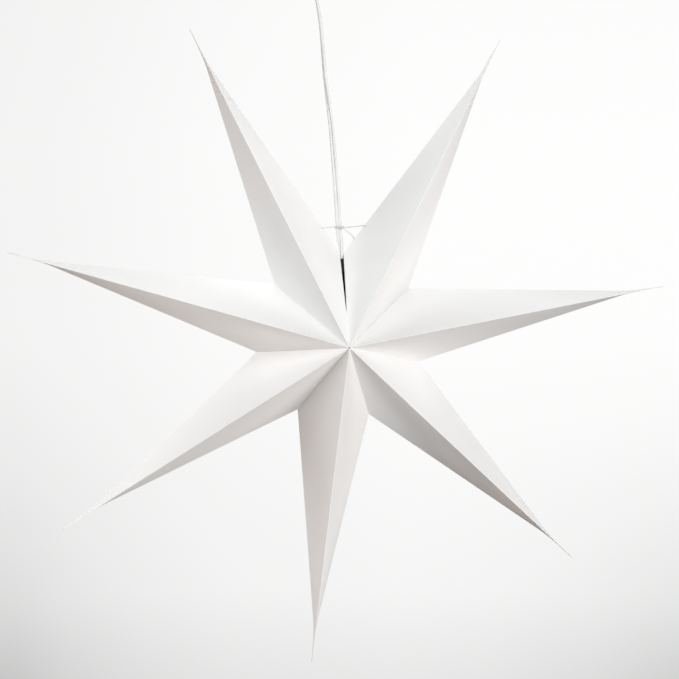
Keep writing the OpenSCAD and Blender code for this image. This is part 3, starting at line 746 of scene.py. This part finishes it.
def cable_outline(cords, turn, sides=17, web=0.34):
    """Figure of eight: two round cores side by side, turned by an angle at each point of the path.

    Each core is an arc that stops short of the groove by the web's angle."""
    half, r = (cords.flex_width - cords.flex_thickness) / 2.0, cords.flex_thickness / 2.0
    t = np.linspace(web - math.pi, math.pi - web, sides)
    core = np.stack((half + r * np.cos(t), r * np.sin(t)), -1)
    x, y = np.vstack((core, -core)).T
    c, s = np.cos(turn)[:, None], np.sin(turn)[:, None]
    return np.stack((x[None] * c - y[None] * s, x[None] * s + y[None] * c), -1)


class STAR_OT_run_cable(bpy.types.Operator):
    """Run the flat twin cable from the ceiling cup to the lamp holder"""
    bl_idname = "paper_star.run_cable"
    bl_label = "Run Cable"

    def execute(self, context):
        cords = context.scene.paper_star_cords
        route = np.hstack((np.array(CABLE_ROUTE, float) * MM, np.radians(CABLE_TURN)[:, None]))
        curve = spline(route, CABLE_STEPS)
        path, turn = curve[:, :3], curve[:, 3]
        tangent, normal, binormal = frames_along(path, (1.0, 0.0, 0.0))
        flat = unit(np.array((1.0, 0.0, 0.0)) - tangent * tangent[:, :1])
        lag = np.arctan2(np.sum(flat * binormal, -1), np.sum(flat * normal, -1))
        verts, polys = tube(path, cable_outline(cords, turn + lag), (1.0, 0.0, 0.0))
        obj = add_mesh("twin_cable", verts, polys, cable_material(cords))
        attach(obj, "root")
        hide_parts("cable")
        return {"FINISHED"}


def hole(star, cords, k, face, side, reach):
    """Centre of a tie hole, its outward normal, and the place where a string passes the edge beside it."""
    point = FoldedPoint(star, k)
    whole = np.linalg.norm(point.edge(side, np.ones(1)) - point.edge(side, np.zeros(1)))
    a = np.array([reach / whole])
    c = 1.0 - cords.hole_inset / np.linalg.norm(point.edge(side, a) - point.ridge(face, a), axis=-1)
    centre = np.array(star.centre)
    passing = point.panel(face, side, a, np.ones(1))[0] + point.flap_normal(side) * EDGE_CLEAR
    return centre + point.panel(face, side, a, c)[0], point.normal(face, side, a, c)[0], centre + passing


def tie_path(star, cords):
    """String: stopper knot, left hole, once round the cable, main knot, right hole, back hole, main knot.

    Its turn round the cable is a circle with two straight sides, which sinks evenly by its own width."""
    d, knot_r = cords.string_diameter, cords.knot_diameter / 2.0
    left, left_n, _ = hole(star, cords, 0, -1, 1, cords.left_reach)
    right, right_n, _ = hole(star, cords, 1, -1, -1, cords.right_reach)
    back, back_n, back_edge = hole(star, cords, 1, 1, -1, cords.back_reach)
    left_out, right_out, back_out = left + left_n * d, right + right_n * d, back + back_n * d
    grip = np.array(TIE_GRIP) * MM
    stopper = left - left_n * (star.paper_thickness + STOPPER_CLEAR + knot_r)
    knot = grip + cords.flex_width * np.array(KNOT_SHARES)
    t = np.radians(WRAP_ANGLES)
    r = cords.flex_thickness / 2.0 + WRAP_CLEAR + d / 2.0
    half = (cords.flex_width - cords.flex_thickness) / 2.0
    across = half * np.clip(np.cos(t) / WRAP_CROSSING, -1.0, 1.0) + r * np.cos(t)
    sink = (WRAP_LEVEL - WRAP_ANGLES) / 360.0 * (d + WRAP_CLEAR)
    turns = grip + np.stack((across, r * np.sin(t), sink), -1)
    end = knot + unit(back_edge - knot) * (knot_r + d / 2.0)
    points = np.vstack((
        stopper, left, left_out, between(left_out, turns[0], 0.35, 0.7),
        turns, knot, between(knot, right_out, 0.5, 0.8),
        right_out, right, right - right_n * d,
        mix(right - right_n * 2.0 * d, back - back_n * 2.0 * d, 0.5),
        back - back_n * d, back, back_out,
        mix(back_out, back_edge, 0.6), between(back_edge, end, 0.2, 0.6), end))
    return points, stopper, knot, unit(right - knot)


def overhand_knot(centre, run, size, d, count=120, depth=0.55):
    """Overhand knot: a trefoil curve drawn together round the string's run, and less deep along it."""
    t = np.linspace(0.0, 2.0 * math.pi, count)
    x = unit(run)
    y = unit(np.cross(x, (0.0, 0.0, 1.0)))
    z = np.cross(x, y)
    u = (np.sin(t) + 2.0 * np.sin(2.0 * t)) / 3.0
    v = (np.cos(t) - 2.0 * np.cos(2.0 * t)) / 3.0
    w = -np.sin(3.0 * t)
    spread = size / 2.0 - d / 2.0
    return centre + (x[None] * w[:, None] * depth + y[None] * u[:, None] + z[None] * v[:, None]) * spread


def twisted_outline(path, d, sides=14, lay=2.6 * MM, lobe=0.14):
    """Two-ply string: an outline with two lobes that turn once in each lay length."""
    run = np.concatenate(((0.0,), np.cumsum(np.linalg.norm(np.diff(path, axis=0), axis=1))))
    t = np.linspace(0.0, 2.0 * math.pi, sides, endpoint=False)
    r = d / 2.0 * (1.0 - lobe + lobe * np.cos(2.0 * (t[None] - 2.0 * math.pi * run[:, None] / lay)))
    return np.stack((r * np.cos(t)[None], r * np.sin(t)[None]), -1)


class STAR_OT_tie_string(bpy.types.Operator):
    """Tie the seam shut round the cable"""
    bl_idname = "paper_star.tie_string"
    bl_label = "Tie String"

    def execute(self, context):
        star, cords = context.scene.paper_star, context.scene.paper_star_cords
        cotton = string_material(cords)
        points, stopper, knot, run = tie_path(star, cords)
        path = spline(points, STRING_STEPS)
        verts, polys = tube(path, twisted_outline(path, cords.string_diameter), (0.0, 0.0, 1.0))
        string = add_mesh("tie_cotton", verts, polys, cotton)
        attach(string, "root")
        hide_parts("tie_string")
        knots = (("stopper_knot", stopper, points[1] - points[0]), ("main_knot", knot, run))
        for name, place, way in knots:
            loop = overhand_knot(place, way, cords.knot_diameter, cords.string_diameter)
            verts, polys = tube(loop, twisted_outline(loop, cords.string_diameter), (0.3, 0.2, 1.0))
            obj = add_mesh(name, verts, polys, cotton)
            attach(obj, "root")
        return {"FINISHED"}


# Lamp and ceiling cup

def set_finish(node, mat):
    """Puts one material on every slot of a CAD node."""
    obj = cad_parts[node]
    if not obj.material_slots:
        obj.data.materials.append(mat)
    for slot in obj.material_slots:
        slot.material = mat


class STAR_OT_finish_lamp(bpy.types.Operator):
    """Give the lamp holder, its contacts and the bulb their finishes"""
    bl_idname = "paper_star.finish_lamp"
    bl_label = "Finish Lamp"

    def execute(self, context):
        black = moulded_material("black_holder", (0.009, 0.009, 0.009), roughness=0.6, specular=0.15)
        clay = moulded_material("fired_clay", (0.82, 0.81, 0.77), roughness=0.6, grain_scale=800.0)
        brass = brass_material()
        opal = bulb_material(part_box("holder_body")[0][2])
        for node, mat in (("holder_cap", black), ("holder_body", black), ("contact_insert", clay),
                          ("screw_shell", brass), ("centre_contact", brass), ("bulb", opal)):
            set_finish(node, mat)
        return {"FINISHED"}


class STAR_OT_finish_cup(bpy.types.Operator):
    """Give the ceiling cup, its plate and the cord grip their finish"""
    bl_idname = "paper_star.finish_cup"
    bl_label = "Finish Ceiling Cup"

    def execute(self, context):
        white = moulded_material("white_cup", (0.86, 0.86, 0.85), roughness=0.35)
        for node in ("ceiling_cup", "ceiling_plate", "cord_grip"):
            set_finish(node, white)
        return {"FINISHED"}


# Stage

def turn_matrix(yaw, pitch):
    """Camera's right, view and up axes as columns, from its yaw and pitch."""
    cy, sy, cp, sp = math.cos(yaw), math.sin(yaw), math.cos(pitch), math.sin(pitch)
    about_z = np.array(((cy, sy, 0.0), (-sy, cy, 0.0), (0.0, 0.0, 1.0)))
    about_x = np.array(((1.0, 0.0, 0.0), (0.0, cp, sp), (0.0, -sp, cp)))
    return about_z @ about_x


class STAR_OT_set_stage(bpy.types.Operator):
    """Set the camera, the soft light and the pale floor"""
    bl_idname = "paper_star.set_stage"
    bl_label = "Set Stage"

    def execute(self, context):
        scene = context.scene
        stage, star = scene.paper_star_stage, scene.paper_star
        scene.view_settings.view_transform = "Standard"
        self.camera(scene, stage, np.array(star.centre))
        self.world(scene)
        self.lights(scene)
        self.floor(stage)
        return {"FINISHED"}

    def camera(self, scene, stage, centre):
        """Camera at the photo's angle: axes from yaw and pitch, back along its view by the distance."""
        right, view, up = turn_matrix(stage.yaw, stage.pitch).T
        place = centre - right * stage.shift[0] - view * stage.distance - up * stage.shift[1]
        data = bpy.data.cameras.new("photo_camera")
        data.lens = stage.lens
        data.sensor_width = SENSOR_WIDTH
        data.sensor_fit = "HORIZONTAL"
        data.clip_end = 100.0
        obj = bpy.data.objects.new("photo_camera", data)
        matrix = np.eye(4)
        matrix[:3, 0], matrix[:3, 1], matrix[:3, 2], matrix[:3, 3] = right, up, -view, place
        obj.matrix_world = Matrix(matrix.tolist())
        scene.collection.objects.link(obj)
        scene.camera = obj

    def world(self, scene):
        """Pale surround by direction: a slope of brightness with height times one from left to right.

        The backdrop's two lower corners are shaded by the product of three more slopes. Only camera,
        glossy and transmission rays see the surround; the lamps alone light the star."""
        world = bpy.data.worlds.new("pale_surround")
        world.use_nodes = True
        nodes, links = world.node_tree.nodes, world.node_tree.links
        nodes.clear()
        way = nodes.new("ShaderNodeTexCoord")
        split = nodes.new("ShaderNodeSeparateXYZ")
        links.new(way.outputs["Generated"], split.inputs["Vector"])

        def slope(axis, steps):
            """Levels along one axis of the direction, straight between the steps."""
            span = nodes.new("ShaderNodeMapRange")
            span.inputs["From Min"].default_value = -1.0
            links.new(split.outputs[axis], span.inputs["Value"])
            ramp = nodes.new("ShaderNodeValToRGB")
            while len(ramp.color_ramp.elements) < len(steps):
                ramp.color_ramp.elements.new(1.0)
            for element, (place, level) in zip(ramp.color_ramp.elements, steps):
                element.position = (place + 1.0) / 2.0
                element.color = (level, level, level * SURROUND_BLUE, 1.0)
            links.new(span.outputs["Result"], ramp.inputs["Fac"])
            return ramp.outputs["Color"]

        def times(first, second):
            """Product of two slopes."""
            both = nodes.new("ShaderNodeMix")
            both.data_type, both.blend_type = "RGBA", "MULTIPLY"
            both.inputs["Factor"].default_value = 1.0
            links.new(first, both.inputs["A"])
            links.new(second, both.inputs["B"])
            return both.outputs["Result"]

        corners = times(slope("Z", CORNER_HEIGHT), slope("X", CORNER_SIDE))
        tone = nodes.new("ShaderNodeMix")
        tone.data_type, tone.blend_type = "RGBA", "MULTIPLY"
        tone.inputs["B"].default_value = (CORNER_LEVEL, CORNER_LEVEL, CORNER_LEVEL, 1.0)
        links.new(times(corners, slope("Y", CORNER_DEPTH)), tone.inputs["Factor"])
        links.new(times(slope("Z", SURROUND_HEIGHT), slope("X", SURROUND_SIDE)), tone.inputs["A"])
        path = nodes.new("ShaderNodeLightPath")
        seen = path.outputs["Is Camera Ray"]
        for ray in ("Is Glossy Ray", "Is Transmission Ray"):
            either = nodes.new("ShaderNodeMath")
            either.operation = "MAXIMUM"
            links.new(seen, either.inputs[0])
            links.new(path.outputs[ray], either.inputs[1])
            seen = either.outputs["Value"]
        pale = nodes.new("ShaderNodeBackground")
        links.new(tone.outputs["Result"], pale.inputs["Color"])
        links.new(seen, pale.inputs["Strength"])
        out = nodes.new("ShaderNodeOutputWorld")
        links.new(pale.outputs["Background"], out.inputs["Surface"])
        scene.world = world

    def lights(self, scene):
        """Broad, far lamps: each shines from its own direction."""
        for name, way, colour in STUDIO_LAMPS:
            data = bpy.data.lights.new(name, "SUN")
            data.angle = LAMP_WIDTH
            data.energy = max(colour)
            data.color = [v / max(colour) for v in colour]
            obj = bpy.data.objects.new(name, data)
            back = unit(np.array(way))
            right = unit(np.cross((0.0, 0.0, 1.0), back))
            matrix = np.eye(4)
            matrix[:3, 0], matrix[:3, 1], matrix[:3, 2] = right, np.cross(back, right), back
            obj.matrix_world = Matrix(matrix.tolist())
            scene.collection.objects.link(obj)

    def floor(self, stage):
        """Round pale floor below the star: rings of a disc, whose cover falls by a soft step to its rim."""
        rings, sides = FLOOR_RINGS, FLOOR_SIDES
        r = np.linspace(0.0, FLOOR_RADIUS, rings + 1)[1:]
        t = np.linspace(0.0, 2.0 * math.pi, sides, endpoint=False)
        grid = np.stack((r[:, None] * np.cos(t), r[:, None] * np.sin(t), np.zeros((rings, sides))), -1)
        verts = np.vstack((grid.reshape(-1, 3), (0.0, 0.0, 0.0))) + np.array((0.0, 0.0, -stage.floor_drop))
        polys = [ring_quads(rings, sides), ring_fan(0, rings * sides, sides)[:, ::-1]]
        colour = (0.85, 0.85, 0.84)
        mat, nodes, links, shader = new_material("pale_floor", colour, roughness=0.9, specular=0.1)
        fade = nodes.new("ShaderNodeAttribute")
        fade.attribute_name = "cover"
        links.new(fade.outputs["Fac"], shader.inputs["Alpha"])
        cover = 1.0 - smoothstep((r - FLOOR_SOLID) / (FLOOR_RADIUS - FLOOR_SOLID))
        cover = np.concatenate((np.repeat(cover, sides), (1.0,)))
        obj = add_mesh("pale_floor", verts, polys, mat, {"cover": cover})
        obj.visible_shadow = False
        obj.visible_diffuse = False


class VIEW3D_PT_paper_star(bpy.types.Panel):
    """Sizes and steps of the paper star"""
    bl_label = "Paper Star"
    bl_idname = "VIEW3D_PT_paper_star"
    bl_space_type = "VIEW_3D"
    bl_region_type = "UI"
    bl_category = "Star"

    def draw(self, context):
        layout = self.layout
        for group in (context.scene.paper_star, context.scene.paper_star_cords,
                      context.scene.paper_star_stage):
            box = layout.box()
            for key in group.__annotations__:
                box.prop(group, key)
        for step in STEPS:
            layout.operator(step.bl_idname)


STEPS = (STAR_OT_set_stage, STAR_OT_run_cable, STAR_OT_tie_string, STAR_OT_fold_points,
         STAR_OT_finish_lamp, STAR_OT_finish_cup)
CLASSES = (StarProps, CordProps, StageProps) + STEPS + (VIEW3D_PT_paper_star,)


def register():
    for cls in CLASSES:
        bpy.utils.register_class(cls)
    bpy.types.Scene.paper_star = bpy.props.PointerProperty(type=StarProps)
    bpy.types.Scene.paper_star_cords = bpy.props.PointerProperty(type=CordProps)
    bpy.types.Scene.paper_star_stage = bpy.props.PointerProperty(type=StageProps)


def unregister():
    del bpy.types.Scene.paper_star_stage
    del bpy.types.Scene.paper_star_cords
    del bpy.types.Scene.paper_star
    for cls in reversed(CLASSES):
        bpy.utils.unregister_class(cls)


def main():
    register()
    bpy.ops.paper_star.set_stage()
    bpy.ops.paper_star.run_cable()
    bpy.ops.paper_star.tie_string()
    bpy.ops.paper_star.fold_points()
    bpy.ops.paper_star.finish_lamp()
    bpy.ops.paper_star.finish_cup()


if __name__ == "__main__":
    main()
